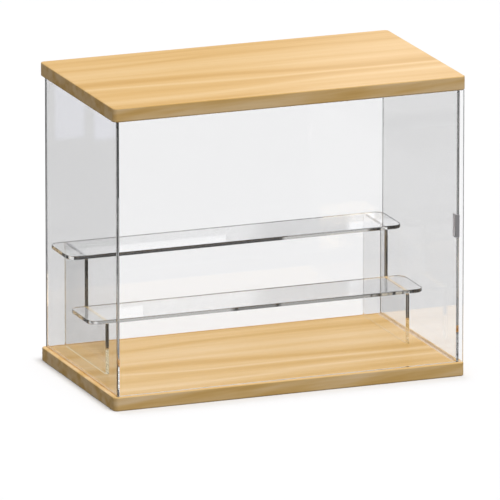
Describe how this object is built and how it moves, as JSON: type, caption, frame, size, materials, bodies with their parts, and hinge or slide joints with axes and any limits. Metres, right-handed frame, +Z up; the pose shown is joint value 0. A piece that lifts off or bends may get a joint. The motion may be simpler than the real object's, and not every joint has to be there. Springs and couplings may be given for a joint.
{
  "type": "shadow box",
  "caption": "Tabletop shadow box: wooden base and top boards, clear acrylic walls, a pin-hung clear front door with a magnetic catch, and a clear stepped riser inside.",
  "frame": {"origin": "centre of the underside of the base board", "axes": "+X along the width to the right, +Y along the depth to the back, +Z up; the front door is at -Y and is hinged at its left end"},
  "size_m": [0.4, 0.225, 0.33],
  "materials": {
    "board_wood": "satin lacquer over pale wood, grain along the length",
    "clear_acrylic": "clear cast acrylic sheet with polished edges",
    "magnet_strip": "plastic-bonded magnet strip",
    "catch_steel": "thin brushed steel",
    "pin_steel": "ground steel dowel"
  },
  "bodies": {
    "case": {"base_board": "board_wood", "top_board": "board_wood", "left_panel": "clear_acrylic", "right_panel": "clear_acrylic", "back_panel": "clear_acrylic", "magnetic_catch": "magnet_strip", "riser_side_left": "clear_acrylic", "riser_side_right": "clear_acrylic", "riser_shelf_lower": "clear_acrylic", "riser_shelf_upper": "clear_acrylic"},
    "door": {"front_door": "clear_acrylic", "hinge_pin_lower": "pin_steel", "hinge_pin_upper": "pin_steel", "strike_plate": "catch_steel"}
  },
  "joints": [
    {"name": "door_hinge", "type": "hinge", "parent": "case", "child": "door", "pos_m": [-0.1945, -0.1087, 0.165], "axis": [0, 0, -1], "range_deg": [0, 180]}
  ]
}
